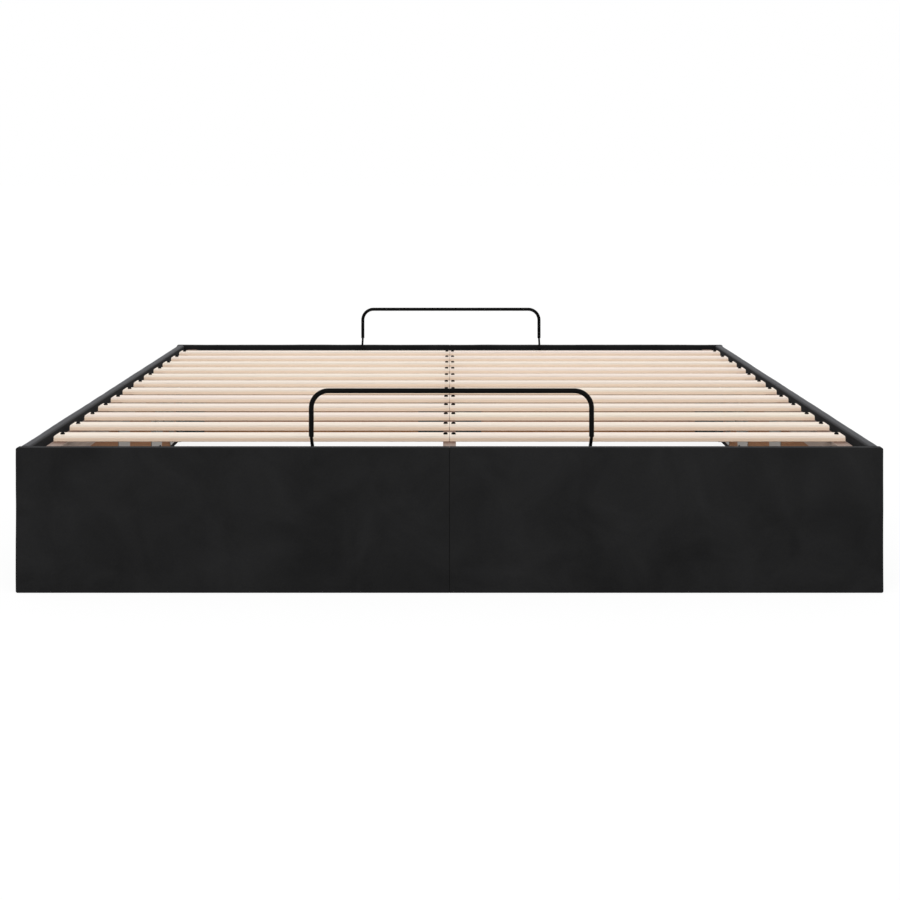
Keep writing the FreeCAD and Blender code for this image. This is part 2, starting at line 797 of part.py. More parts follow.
def build():
    nodes = {}
    board, cover = panel_half()
    for end, turn_y in (("foot", False), ("head", True)):
        for side, turn_x in (("right", False), ("left", True)):
            for name, shape in (("board", board), ("cover", cover)):
                shape = mirror_y(shape) if turn_y else shape
                shape = mirror_x(shape) if turn_x else shape
                nodes[end + "_" + name + "_" + side] = shape

    shared = [(s, d, screw_length) for s, d in rail_plate_seats()]
    for seat in bracket_seats():
        place, direction = flip(seat, 1, -1)
        if abs(direction.x) > 0:
            shared.append((place, direction, screw_length))
    head_seats = shared + [(s, d, screw_length) for s, d in base_plate_seats()]
    foot_seats = list(shared)
    for seat in rest_block_seats():
        place, direction = flip(seat, 1, -1)
        foot_seats.append((place, direction, rest_screw_length))
    for end, seats in (("head", head_seats), ("foot", foot_seats)):
        board, cover = rail_half(seats)
        for side, turn_x in (("right", False), ("left", True)):
            for name, shape in (("board", board), ("cover", cover)):
                shape = mirror_y(shape) if end == "foot" else shape
                shape = mirror_x(shape) if turn_x else shape
                nodes["rail_" + name + "_" + side + "_" + end] = shape

    bracket = corner_bracket()
    nodes["corner_bracket_foot_right"] = bracket
    nodes["corner_bracket_foot_left"] = mirror_x(bracket)
    nodes["corner_bracket_head_right"] = mirror_y(bracket)
    nodes["corner_bracket_head_left"] = mirror_x(mirror_y(bracket))
    nodes["panel_plate_foot"] = panel_plate()
    nodes["panel_plate_head"] = mirror_y(panel_plate())
    nodes["wall_screws"] = wall_screws()

    pairs = {
        "rail_plate": rail_plate(),
        "rest_block": rest_block(),
        "lift_base_plate": base_plate(),
        "lift_rear_arm": rear_arm(),
        "lift_front_arm": front_arm(),
        "lift_top_plate": top_plate(),
        "gas_spring_cylinder": spring_cylinder(),
        "gas_spring_rod": spring_rod(),
        "side_beam": side_beam(),
    }
    for name, shape in pairs.items():
        nodes[name + "_right"] = shape
        nodes[name + "_left"] = mirror_x(shape)

    nodes["middle_beam"] = middle_beam()
    nodes["cross_beam_foot"] = cross_beam()
    nodes["cross_beam_head"] = mirror_y(cross_beam())
    nodes["mattress_stop_foot"] = mattress_stop()
    nodes["mattress_stop_head"] = mirror_y(mattress_stop())
    for row in range(slat_rows):
        nodes["slat_row_%02d" % (row + 1)] = slat_row(row)
    nodes["slat_bolts"] = slat_bolts()
    nodes["platform_screws"] = platform_screws()
    return nodes


os.makedirs("parts", exist_ok=True)
for node_name, node_shape in build().items():
    if not node_shape.isValid():
        raise ValueError("shape is not valid: " + node_name)
    node_shape.exportStep("parts/" + node_name + ".step")

print("rear base pivot", rear_base, "front base pivot", front_base)
print("rear top pivot", rear_top, "front top pivot", front_top)
print("spring base", spring_base, "spring top", spring_top, "closed length", spring_length)
print("wall face x", rail_face_x, "panel face y", panel_face_y, "beam bottom", beam_bottom)
print("beam outer x", beam_outer_x, "spring x", spring_x, "slat pitch", slat_pitch)
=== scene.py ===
# %% [markdown]
# # A storage bed frame, dressed around its CAD model
# The bed is a low box of four padded walls round a slatted platform that lifts from the foot.
# The CAD model already holds every board, beam, slat and lifting arm at its true size and place, so
# this lesson leaves those shapes alone and gives them finishes. What CAD can't give is softness: the
# velvet walls are made again as stretched cloth over thin foam. Fasteners get finer heads, and hems staples.

# %% Load the CAD frame
import json
import math
from itertools import product

import bmesh
import bpy
import numpy as np
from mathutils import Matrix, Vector, noise


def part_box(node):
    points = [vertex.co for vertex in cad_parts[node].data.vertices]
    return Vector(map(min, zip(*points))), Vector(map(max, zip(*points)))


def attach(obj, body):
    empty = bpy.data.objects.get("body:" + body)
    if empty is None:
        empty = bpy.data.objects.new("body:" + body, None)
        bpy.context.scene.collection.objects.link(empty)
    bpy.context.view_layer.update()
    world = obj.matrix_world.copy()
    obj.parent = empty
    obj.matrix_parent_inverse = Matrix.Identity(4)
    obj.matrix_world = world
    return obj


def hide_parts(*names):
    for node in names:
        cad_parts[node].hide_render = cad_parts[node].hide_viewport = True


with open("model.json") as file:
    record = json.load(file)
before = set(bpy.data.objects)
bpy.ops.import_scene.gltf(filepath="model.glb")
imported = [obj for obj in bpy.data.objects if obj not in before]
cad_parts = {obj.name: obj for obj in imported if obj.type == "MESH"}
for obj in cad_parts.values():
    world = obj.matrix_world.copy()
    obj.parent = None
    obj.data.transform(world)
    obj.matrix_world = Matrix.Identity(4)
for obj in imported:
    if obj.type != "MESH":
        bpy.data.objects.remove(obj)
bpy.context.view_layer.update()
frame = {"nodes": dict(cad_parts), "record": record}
nodes = frame["nodes"]
scene = bpy.context.scene
scene.view_settings.view_transform = "Standard"

# %% [markdown]
# ## The camera
# The photograph looks level along the bed from beyond its foot, from a little under a metre up.
# A level camera keeps upright edges upright. The horizon then sits high in the picture, and a downward
# lens shift brings the bed to the middle.


# %% Camera at the foot
def add_object(name, data):
    """A new object at the origin, in the scene."""
    made = bpy.data.objects.new(name, data)
    scene.collection.objects.link(made)
    return made


camera_data = bpy.data.cameras.new("photo_camera")
camera_data.sensor_width = 36.0
camera_data.lens = 64.75
camera_data.shift_y = -0.3096
camera = add_object("photo_camera", camera_data)
camera.location = (0.001, -4.4145, 0.8862)
camera.rotation_euler = (math.radians(90), 0, 0)
scene.camera = camera
print("camera", tuple(camera.location), "lens", camera_data.lens, "shift", camera_data.shift_y)

# %% [markdown]
# ## Nodes in a few words
# Materials below are short lists of nodes. A few helpers keep them readable: one fills a node's inputs with
# numbers or links, one adds a node, one does a sum. Every pattern reads Object coordinates, which here are
# metres in the bed's own frame, because every finished object sits at the origin.


# %% Helpers for node trees
def fill(tree, inputs, values):
    """Input sockets, by name or number, set to a value or linked to an output socket."""
    for key, value in values.items():
        if isinstance(value, bpy.types.NodeSocket):
            tree.links.new(value, inputs[key])
        else:
            inputs[key].default_value = value


def add_node(tree, kind, values=None, **settings):
    """Outputs of a new node, made with its settings and its inputs filled."""
    node = tree.nodes.new(kind)
    for key, value in settings.items():
        setattr(node, key, value)
    fill(tree, node.inputs, values or {})
    return node.outputs


def sums(tree, operation, *values, clamp=False):
    """Output of a Math node on numbers and sockets."""
    numbered = dict(enumerate(values))
    return add_node(tree, "ShaderNodeMath", numbered, operation=operation, use_clamp=clamp)[0]


def vectors(tree, operation, *values):
    """Output of a Vector Math node."""
    return add_node(tree, "ShaderNodeVectorMath", dict(enumerate(values)), operation=operation)[0]


def xyz(tree, vector):
    """The X, Y and Z outputs of a vector."""
    return add_node(tree, "ShaderNodeSeparateXYZ", {0: vector})


def joined(tree, **values):
    """A vector of X, Y and Z values."""
    return add_node(tree, "ShaderNodeCombineXYZ", values)[0]


def scaled(tree, value, low, high, start=0.0, end=1.0):
    """A value between start and end brought into the range from low to high."""
    ends = {"From Min": start, "From Max": end, "To Min": low, "To Max": high}
    return add_node(tree, "ShaderNodeMapRange", {"Value": value, **ends})[0]


def noisy(tree, place, scale, **values):
    """Value of a Noise texture, with its further inputs."""
    return add_node(tree, "ShaderNodeTexNoise", {"Vector": place, "Scale": scale, **values})["Fac"]


def new_tree(name, inputs, outputs, kind="ShaderNodeTree"):
    """An empty node group with its dials and results; a dial is given as its kind or its first number."""
    tree = bpy.data.node_groups.new(name, kind)
    for label, given in inputs.items():
        is_number = isinstance(given, float)
        socket_kind = "NodeSocketFloat" if is_number else "NodeSocket" + given
        socket = tree.interface.new_socket(label, in_out="INPUT", socket_type=socket_kind)
        if is_number:
            socket.default_value = given
    for label, given in outputs.items():
        tree.interface.new_socket(label, in_out="OUTPUT", socket_type="NodeSocket" + given)
    return tree, tree.nodes.new("NodeGroupInput").outputs, tree.nodes.new("NodeGroupOutput").inputs


print("helpers ready")

# %% [markdown]
# ## Three effects that several finishes share
# Cloudiness is a slow drift of tone: brushed velvet, zinc and powder coat all have it. Speckle is a fine
# grain, as in paint, pile and pressed chips. Long grain is noise drawn out along the board, for the birch
# slats and the softwood beams. Each is a group with its own dials, so a finish only turns them.

# %% Cloudiness
MIDDLE_TONE = 0.5
# Group: slow drift of tone, from 0 to 1.
inputs = {"Place": "Vector", "Scale": 6.0, "Contrast": 1.0}
tree, dials, results = new_tree("cloudiness", inputs, {"Tone": "Float"})
cloud = noisy(tree, dials["Place"], dials["Scale"], Detail=4.0, Roughness=0.55, Distortion=0.6)
centred = sums(tree, "SUBTRACT", cloud, MIDDLE_TONE)
tone = sums(tree, "MULTIPLY_ADD", centred, dials["Contrast"], MIDDLE_TONE, clamp=True)
fill(tree, results, {"Tone": tone})
CLOUDINESS = tree
print("group", CLOUDINESS.name)

# %% Speckle
COARSE_SHARE = 0.31
# Group: fine grain, as a tone and as a height.
inputs = {"Place": "Vector", "Scale": 800.0, "Softness": 0.5}
tree, dials, results = new_tree("speckle", inputs, {"Tone": "Float", "Height": "Float"})
fine = noisy(tree, dials["Place"], dials["Scale"], Detail=2.0)
coarse_scale = sums(tree, "MULTIPLY", dials["Scale"], COARSE_SHARE)
coarse = noisy(tree, dials["Place"], coarse_scale, Detail=1.0)
height = add_node(tree, "ShaderNodeMix", {"Factor": dials["Softness"], "A": fine, "B": coarse})["Result"]
fill(tree, results, {"Tone": scaled(tree, height, 0.0, 1.0, start=0.3, end=0.7), "Height": height})
SPECKLE = tree
print("group", SPECKLE.name)

# %% Long grain
GRAIN_STRETCH = (0.035, 1.0, 1.0)
PORES_PER_BAND = 9.0
# Group: wood grain along a board that is turned about Z, as broad bands, fine pores and a height.
inputs = {"Place": "Vector", "Turn": 0.0, "Across": 60.0, "Shift": "Vector"}
outputs = {"Bands": "Float", "Pores": "Float", "Height": "Float"}
tree, dials, results = new_tree("long_grain", inputs, outputs)
turned = add_node(tree, "ShaderNodeVectorRotate", {"Vector": dials["Place"], "Angle": dials["Turn"]},
                  rotation_type="Z_AXIS")
moved = vectors(tree, "ADD", turned[0], dials["Shift"])
drawn = vectors(tree, "MULTIPLY", moved, GRAIN_STRETCH)
bands = noisy(tree, drawn, dials["Across"], Detail=3.0, Roughness=0.5, Distortion=0.5)
pores = noisy(tree, drawn, sums(tree, "MULTIPLY", dials["Across"], PORES_PER_BAND), Detail=2.0)
fill(tree, results, {"Bands": scaled(tree, bands, 0.0, 1.0, start=0.3, end=0.72),
                     "Pores": scaled(tree, pores, 0.0, 1.0, start=0.35, end=0.65),
                     "Height": pores})
LONG_GRAIN = tree
print("group", LONG_GRAIN.name)


# %% Starting and ending a material
def new_material(name):
    """A material, its tree and an Object coordinate in it."""
    material = bpy.data.materials.new(name)
    material.use_nodes = True
    tree = material.node_tree
    return material, tree, tree.nodes.new("ShaderNodeTexCoord").outputs["Object"]


def facing_up(tree, place):
    """How far the object's own normal points up, from the node of the Object coordinate."""
    return xyz(tree, place.node.outputs["Normal"])["Z"]


def put_group(tree, group, place, **values):
    """Outputs of a shared effect placed in a material, with its dials set."""
    return add_node(tree, "ShaderNodeGroup", {"Place": place, **values}, node_tree=group)


def mixed(tree, factor, first, second, mode="MIX"):
    """Colour between two colours, each a tuple or an output, by a number or an output."""
    pair = [value + (1.0,) if isinstance(value, tuple) else value for value in (first, second)]
    values = {"Factor": factor, "A": pair[0], "B": pair[1]}
    return add_node(tree, "ShaderNodeMix", values, data_type="RGBA", blend_type=mode)["Result"]


def set_shader(tree, height, strength, distance, values):
    """The Principled shader's inputs filled, with a bump from a height in its Normal."""
    bump = add_node(tree, "ShaderNodeBump", {"Height": height, "Strength": strength, "Distance": distance})
    inputs = tree.nodes["Principled BSDF"].inputs
    fill(tree, inputs, {"Normal": bump["Normal"], **values})


print("material helpers ready")

# %% [markdown]
# ## Black velvet
# The walls are covered in a short-pile black velvet. Seen square on it is a soft charcoal without any
# gloss; seen edge on its pile catches the light and turns grey, as along the outer edges of the side walls.
# That is sheen, which the Principled shader has as its own lobe. On the end walls Layer Weight keeps it to
# the last 15 degrees. On the side walls the pile lies along the bed and their tops catch more light, as the
# photograph shows. Brushing leaves slow clouds in the pile, and the pile itself is a very fine bump. Where
# two halves of a wall meet, shade is painted into the colour as a dark line, and the sheen is turned down.

# %% Velvet
SEAM_SHADE_START, SEAM_SHADE_END = 0.0003, 0.0018
CORNER_BLEND = 0.003
WORN_SHARE = 0.3
# Painted shade: the velvet's colour in the shade of the seam, where its sheen is also turned down.
PAINTED_SEAM_SHADE = (0.0105, 0.0105, 0.0107)
end_wall_y = -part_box("foot_cover_right")[1][1]
VELVET, tree, place = new_material("black_velvet")
upward = facing_up(tree, place)
at = xyz(tree, place)
off_x, off_y = (sums(tree, "ABSOLUTE", at[axis]) for axis in ("X", "Y"))
from_seam = sums(tree, "MINIMUM", off_x, off_y)
# Mask of the painted seam shade: 0 at the seam, 1 clear of it.
clear_of_seam_shade = scaled(tree, from_seam, 0.0, 1.0, start=SEAM_SHADE_START, end=SEAM_SHADE_END)
edge_on = add_node(tree, "ShaderNodeLayerWeight", {"Blend": 0.5})["Facing"]
along_side = scaled(tree, off_y, 1.0, 0.0, start=end_wall_y - CORNER_BLEND, end=end_wall_y)
lifted = scaled(tree, upward, 0.07, 0.40, start=0.1, end=0.6)
laid = scaled(tree, edge_on, 0.03, 0.22, start=0.74, end=1.0)
lit = sums(tree, "MULTIPLY_ADD", sums(tree, "SUBTRACT", lifted, laid), along_side, laid)
clouds = put_group(tree, CLOUDINESS, place, Scale=7.5, Contrast=2.3)
pile = put_group(tree, SPECKLE, place, Scale=900.0, Softness=0.45)
brushed = mixed(tree, clouds["Tone"], (0.0076, 0.0076, 0.0078), (0.0176, 0.0176, 0.018))
worn = mixed(tree, pile["Tone"], (0.0066, 0.0066, 0.0068), (0.0165, 0.0165, 0.017))
upright = mixed(tree, WORN_SHARE, brushed, worn)
set_shader(tree, pile["Height"], strength=0.35, distance=0.0004, values={
    "Base Color": mixed(tree, clear_of_seam_shade, PAINTED_SEAM_SHADE, upright),
    "Roughness": scaled(tree, clouds["Tone"], 0.86, 0.97),
    "Specular IOR Level": 0.06,
    "Sheen Weight": sums(tree, "MULTIPLY", lit, clear_of_seam_shade),
    "Sheen Roughness": 0.33,
    "Sheen Tint": (0.86, 0.87, 0.92, 1.0)})
print("finish", VELVET.name)

# %% [markdown]
# ## Pale birch slats
# Each slat is a strip of pale birch, glued up from thin plies and planed with round edges. The photograph
# shows each one a little pinker or yellower than the next, so a White Noise value is taken from the slat's
# row and side and moves the tone of the whole strip. The grain runs across the bed, along the slat. The
# narrow faces cut through the plies: they are browner, with fine glue lines. The slat's own normal,
# taken from the texture coordinate, tells these faces from the flat ones in any pose. Shade is painted
# across each slat too: its tone deepens towards the edge at the foot, as on a slat bowed a little across
# its width and lit from the head.

# %% Where the slat rows are
slat_boxes = [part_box(name) for name in sorted(nodes) if name.startswith("slat_row")]
slat_middles = [(low[1] + high[1]) / 2 for low, high in slat_boxes]
slat_pitch = (slat_middles[-1] - slat_middles[0]) / (len(slat_middles) - 1)


def slat_count(tree, place):
    """How many pitches a place lies past the foot side of the first slat's row."""
    from_start = sums(tree, "SUBTRACT", xyz(tree, place)["Y"], slat_middles[0] - slat_pitch / 2)
    return sums(tree, "DIVIDE", from_start, slat_pitch)


print(len(slat_boxes), "slat rows, pitch", round(slat_pitch, 4))

# %% Birch
PLY, GLUE_SHARE = 0.0017, 0.13
BAND_SHARE = 0.4
BIRCH, tree, place = new_material("pale_birch")
upward = facing_up(tree, place)
at, count = xyz(tree, place), slat_count(tree, place)
strip = joined(tree, X=sums(tree, "FLOOR", count), Y=sums(tree, "GREATER_THAN", at["X"], 0.0))
chance = add_node(tree, "ShaderNodeTexWhiteNoise", {"Vector": strip}, noise_dimensions="3D")
grain = put_group(tree, LONG_GRAIN, place, Across=48.0, Shift=chance["Color"])
strip_tone = mixed(tree, chance["Value"], (0.91, 0.75, 0.66), (0.91, 0.805, 0.64))
band_tone = mixed(tree, grain["Bands"], (0.80, 0.65, 0.53), (0.94, 0.83, 0.735))
clean = mixed(tree, BAND_SHARE, strip_tone, band_tone)
fleck = scaled(tree, grain["Pores"], 0.88, 1.0, start=0.0, end=0.25)
# Painted shade: each slat's tone deepens towards its edge at the foot.
painted_bow_shade = scaled(tree, sums(tree, "FRACT", count), 0.75, 1.0, start=0.30, end=0.44)
flecked_and_shaded = mixed(tree, 1.0, clean, sums(tree, "MULTIPLY", fleck, painted_bow_shade), mode="MULTIPLY")
not_top = scaled(tree, upward, 1.0, 0.0, start=0.15, end=0.50)
not_bottom = scaled(tree, upward, 0.0, 1.0, start=-0.99, end=-0.90)
cut_face = sums(tree, "MULTIPLY", not_top, not_bottom)
ply = sums(tree, "FRACT", sums(tree, "DIVIDE", at["Z"], PLY))
glue_line = sums(tree, "LESS_THAN", ply, GLUE_SHARE)
ply_tone = mixed(tree, glue_line, (0.91, 0.725, 0.565), (0.76, 0.565, 0.415))
set_shader(tree, grain["Height"], strength=0.12, distance=0.0006, values={
    "Base Color": mixed(tree, cut_face, flecked_and_shaded, ply_tone),
    "Roughness": scaled(tree, grain["Bands"], 0.36, 0.5)})
print("finish", BIRCH.name)

# %% [markdown]
# ## Softwood beams
# The long beams of the platform are plain planed softwood, greyer and darker than the slats, with wider
# bands. They run along the bed, so the same grain group is turned by a right angle. Their tops carry painted
# shade: browner all over, and darkest just before each slat as a painted shadow of the slat, fading towards
# the foot. The two beams across the ends are lacquered black and come with the painted metals.

# %% Softwood
CLOUD_SHARE = 0.45
SLAT_MIDDLE = 0.5
SOFTWOOD, tree, place = new_material("softwood_long")
upward = facing_up(tree, place)
grain = put_group(tree, LONG_GRAIN, place, Across=34.0, Turn=math.radians(90))
clouds = put_group(tree, CLOUDINESS, place, Scale=3.0, Contrast=1.2)
bands = mixed(tree, grain["Bands"], (0.30, 0.22, 0.175), (0.44, 0.36, 0.31))
tone = mixed(tree, clouds["Tone"], (0.34, 0.265, 0.22), (0.42, 0.345, 0.30))
planed = mixed(tree, CLOUD_SHARE, bands, tone)
# Painted shade on the tops: browner all over, and a painted shadow darkest just before each slat.
across = sums(tree, "FRACT", slat_count(tree, place))
slat_shadow_ramp = scaled(tree, across, 0.0, 1.0, start=0.02, end=0.28)
painted_slat_shadow = sums(tree, "MULTIPLY", slat_shadow_ramp, sums(tree, "LESS_THAN", across, SLAT_MIDDLE))
painted_top_shade = mixed(tree, painted_slat_shadow, (0.72, 0.63, 0.60), (0.32, 0.19, 0.145))
shaded_top_share = scaled(tree, upward, 0.0, 1.0, start=0.3, end=0.8)
set_shader(tree, grain["Height"], strength=0.2, distance=0.0008, values={
    "Base Color": mixed(tree, shaded_top_share, planed, painted_top_shade, mode="MULTIPLY"),
    "Roughness": scaled(tree, grain["Pores"], 0.48, 0.66),
    "Specular IOR Level": 0.4})
print("finish", SOFTWOOD.name)

# %% [markdown]
# ## Raw pressed board
# Inside, below the turned cloth, the walls are bare pressed board: flat brown chips in all sizes.
# Voronoi cells stand for the chips, each with its own tone, and a fine speckle breaks up their edges.

# %% Pressed board
DUST_SHARE = 0.5
PRESSED_BOARD, tree, place = new_material("pressed_board")
chips = add_node(tree, "ShaderNodeTexVoronoi", {"Vector": place, "Scale": 260.0})
chip_tone = add_node(tree, "ShaderNodeSeparateColor", {0: chips["Color"]})[0]
dust = put_group(tree, SPECKLE, place, Scale=620.0, Softness=0.4)
clouds = put_group(tree, CLOUDINESS, place, Scale=4.0, Contrast=1.0)
chip = mixed(tree, chip_tone, (0.225, 0.095, 0.036), (0.41, 0.201, 0.089))
fine = mixed(tree, dust["Tone"], (0.205, 0.087, 0.033), (0.38, 0.185, 0.081))
pressed = mixed(tree, DUST_SHARE, chip, fine)
drift = mixed(tree, clouds["Tone"], (0.86, 0.86, 0.86), (1.08, 1.06, 1.04))
set_shader(tree, dust["Height"], strength=0.3, distance=0.0005, values={
    "Base Color": mixed(tree, 1.0, pressed, drift, mode="MULTIPLY"),
    "Roughness": scaled(tree, dust["Tone"], 0.64, 0.82),
    "Specular IOR Level": 0.3})
print("finish", PRESSED_BOARD.name)

# %% [markdown]
# ## Metals
# The mattress stops and screws are steel with a deep black powder coat, slightly pebbled; the angles in the
# corners and the plates over the middle joints have a plainer, slightly shinier black paint. The
# lifting arms and the side plates are zinc-plated, cloudy grey. The gas springs have a glossy black tube
# and a chromed rod with faint marks.


# %% Painted steel
CLOUD_LIGHTER = 1.7
SMOOTHER_BY, DULLER_BY = 0.06, 0.08


def painted_steel(name, colour, roughness, pebble, specular, coat=0.0):
    material, tree, place = new_material(name)
    pebbles = put_group(tree, SPECKLE, place, Scale=pebble, Softness=0.6)
    clouds = put_group(tree, CLOUDINESS, place, Scale=14.0, Contrast=1.3)
    lighter = tuple(part * CLOUD_LIGHTER for part in colour)
    set_shader(tree, pebbles["Height"], strength=0.1, distance=0.0003, values={
        "Base Color": mixed(tree, clouds["Tone"], colour, lighter),
        "Roughness": scaled(tree, pebbles["Tone"], roughness - SMOOTHER_BY, roughness + DULLER_BY),
        "Specular IOR Level": specular,
        "Coat Weight": coat,
        "Coat Roughness": 0.12})
    return material


BLACK_STEEL = painted_steel("black_powder_coat", (0.0014, 0.0014, 0.0015), 0.58, pebble=900.0, specular=0.05)
BRACKET_BLACK = painted_steel("black_bracket_paint", (0.007, 0.007, 0.0072), 0.5, pebble=700.0, specular=0.35)
BLACK_LACQUER = painted_steel("black_lacquer", (0.004, 0.004, 0.0042), 0.45, pebble=420.0, specular=0.2)
SPRING_BLACK = painted_steel("gloss_black_paint", (0.006, 0.006, 0.0064), 0.28, pebble=500.0, specular=0.4,
                             coat=0.3)
print("finishes", BLACK_STEEL.name, BRACKET_BLACK.name, BLACK_LACQUER.name, SPRING_BLACK.name)


# %% Plated steel
def plated_steel(name, dark, light, roughness, grain):
    material, tree, place = new_material(name)
    clouds = put_group(tree, CLOUDINESS, place, Scale=38.0, Contrast=1.6)
    marks = put_group(tree, SPECKLE, place, Scale=grain, Softness=0.3)
    set_shader(tree, marks["Height"], strength=0.08, distance=0.0002, values={
        "Base Color": mixed(tree, clouds["Tone"], dark, light),
        "Roughness": scaled(tree, clouds["Tone"], *roughness),
        "Metallic": 1.0})
    return material


ZINC = plated_steel("zinc_plate", (0.27, 0.255, 0.235), (0.40, 0.385, 0.36), (0.36, 0.54), grain=700.0)
CHROME = plated_steel("bright_chrome", (0.78, 0.78, 0.79), (0.86, 0.86, 0.87), (0.06, 0.14), grain=1500.0)
STAPLE_STEEL = plated_steel("staple_wire", (0.5, 0.49, 0.47), (0.66, 0.65, 0.63), (0.28, 0.4), grain=900.0)
print("finishes", ZINC.name, CHROME.name, STAPLE_STEEL.name)

# %% [markdown]
# ## Finishes onto the CAD parts
# A CAD part that is already the right shape keeps its mesh and only changes material. The record names a
# material slot for every node, which says which finish it takes.

# %% Dress the CAD nodes
slot_finish = {
    "velvet": VELVET, "raw_board": PRESSED_BOARD, "slat_wood": BIRCH, "beam_wood": SOFTWOOD,
    "black_wood": BLACK_LACQUER, "black_steel": BLACK_STEEL, "zinc_steel": ZINC,
    "spring_black": SPRING_BLACK, "chromed_rod": CHROME,
}
for part in frame["record"]["subparts"]:
    node = nodes[part["node"]]
    finish = slot_finish[part["material_slot"]]
    if part["node"].startswith(("corner_bracket", "panel_plate")):
        finish = BRACKET_BLACK
    node.data.materials.clear()
    node.data.materials.append(finish)

# %% [markdown]
# ## Padded walls as cloth over foam
# On the real bed each wall is a board with a few millimetres of foam, and velvet drawn round it and stapled
# inside. A rounded box would look dead flat. Here each wall half starts as a fine cage of quads with rounded
# corners and an opening on the inner face where the board shows. A short cloth simulation with a little
# pressure then swells the face between its edges, and a cap keeps the swelling to the foam's own thickness.


# %% A rounded cage of quads
QUAD = 0.008
EDGE_SHARES = (0.0, 0.3, 0.6, 0.82, 1.0)
COUNT_SLACK = 1e-6
NO_LENGTH = 1e-9


def divided(low, high, radius_low, radius_high, *lines):
    """Places along one side of a block: close at its rounded ends, on the lines, at most a quad apart."""
    near = [low + radius_low * s for s in EDGE_SHARES] + [high - radius_high * s for s in EDGE_SHARES]
    stops = sorted({low, high, *[v for v in (*near, *lines) if low < v < high]})
    places = [low]
    for a, b in zip(stops, stops[1:]):
        count = max(1, math.ceil((b - a) / QUAD - COUNT_SLACK))
        places += [a + (b - a) * i / count for i in range(1, count + 1)]
    return np.array(places)


def cage(*axes):
    """Points and outward quads of the surface of a block that is divided at these places in X, Y and Z."""
    index, points, quads = {}, [], []

    def point(key):
        if key not in index:
            index[key] = len(points)
            points.append([axes[a][key[a]] for a in range(3)])
        return index[key]

    for axis in range(3):
        u, v = (axis + 1) % 3, (axis + 2) % 3
        for end in (0, len(axes[axis]) - 1):
            for i, j in product(range(len(axes[u]) - 1), range(len(axes[v]) - 1)):
                ring = []
                for di, dj in ((0, 0), (1, 0), (1, 1), (0, 1)):
                    key = [0, 0, 0]
                    key[axis], key[u], key[v] = end, i + di, j + dj
                    ring.append(point(tuple(key)))
                quads.append(ring if end else ring[::-1])
    return np.array(points), quads


def round_off(points, low, high, radii):
    """The block's points with its edges rounded; radii(signs) gives the three radii in a corner."""
    middle = (low + high) / 2
    rounded = points.copy()
    for n, p in enumerate(points):
        signs = np.where(p > middle, 1, -1)
        r = np.array(radii(*signs))
        q = np.clip(p, np.where(signs < 0, low + r, low), np.where(signs > 0, high - r, high))
        d = np.divide(p - q, r, out=np.zeros(3), where=r > 0)
        length = np.linalg.norm(d)
        if length > NO_LENGTH:
            rounded[n] = q + r * d * np.abs(d).max() / length
    return rounded


print("cage helpers ready")

# %% [markdown]
# The foot wall's right half is made first. Its sizes come from the CAD cover that it replaces. The opening
# on its inner face reaches to the turned hem at the top and to a narrow turn at the bottom, and it runs out
# through the middle seam, where the cloth only wraps round the board's end. The edges at the seam are
# tighter than the outer ones, and the halves just press against each other, so that they meet in a fine
# line with no light between them; the line's darkness is partly its own small groove and partly shade
# painted into the velvet.

# %% Sizes of the turned cloth
CLOTH = 0.002
HEM_DEPTH, BOTTOM_TURN = 0.060, 0.012
WALL_RADIUS, WALL_INNER_RADIUS = 0.004, 0.0022
RAIL_OUTER_RADIUS, RAIL_INNER_RADIUS, RAIL_LOW_RADIUS = 0.008, 0.005, 0.003
SEAM_RADIUS, SEAM_PRESS = 0.0009, 0.0001
SEAM_GROOVE, SEAM_REACH, SEAM_DEPTH, SEAM_FADE = 0.00025, 0.003, 0.004, 0.001
TOP_SWELL, SWELL_FADE = 0.0004, 0.03
PANEL_FREE_DEPTH, RAIL_FREE_DEPTH = 0.006, 0.010
HOLD_FADE, HOLD_REACH = 0.008, 0.004
BOARD_CLEARANCE = 0.0003
SAME_PLACE = 1e-7
panel_low, panel_high = (np.array(corner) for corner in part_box("foot_cover_right"))
rail_low, rail_high = (np.array(corner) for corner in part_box("rail_cover_right_head"))
panel_low[0] = rail_low[1] = -SEAM_PRESS
wall_top = panel_high[2]
hem_z = wall_top - HEM_DEPTH
board_inner_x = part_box("rail_board_right_head")[0][0]
panel_inner_y = -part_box("foot_board_right")[1][1]
print("panel half", (panel_high - panel_low).round(4), "side wall half", (rail_high - rail_low).round(4))


# %% Foot wall, right half
def seam_step(from_seam, from_outside):
    """Step back of the points near the middle seam, as deep as the cloth rolls into it."""
    near = np.clip(1 - from_seam / SEAM_REACH, 0, 1)
    shallow = np.clip((SEAM_DEPTH - from_outside) / SEAM_FADE, 0, 1)
    return SEAM_GROOVE * near * shallow


def roll_in(points, axis, end, low, high):
    """The block's points with its section drawn in near an end, where the cloth rolls round the board."""
    share = np.clip(np.abs(points[:, axis] - end) / SEAM_RADIUS, 0, 1)
    pull = SEAM_RADIUS * (1 - np.sqrt(1 - (1 - share) ** 2))
    for other in {0, 1, 2} - {axis}:
        middle, half = (low[other] + high[other]) / 2, (high[other] - low[other]) / 2
        points[:, other] = middle + (points[:, other] - middle) * (1 - pull / half)
    return points


def held_still(depth, free_depth, from_end, from_floor):
    """How firmly the board holds each point: fully behind the foam, at the ends and at the floor."""
    behind = np.clip((depth - free_depth) / HOLD_FADE, 0, 1)
    at_edge = np.clip(1 - np.minimum(from_end, from_floor) / HOLD_REACH, 0, 1)
    return np.maximum(behind, at_edge)


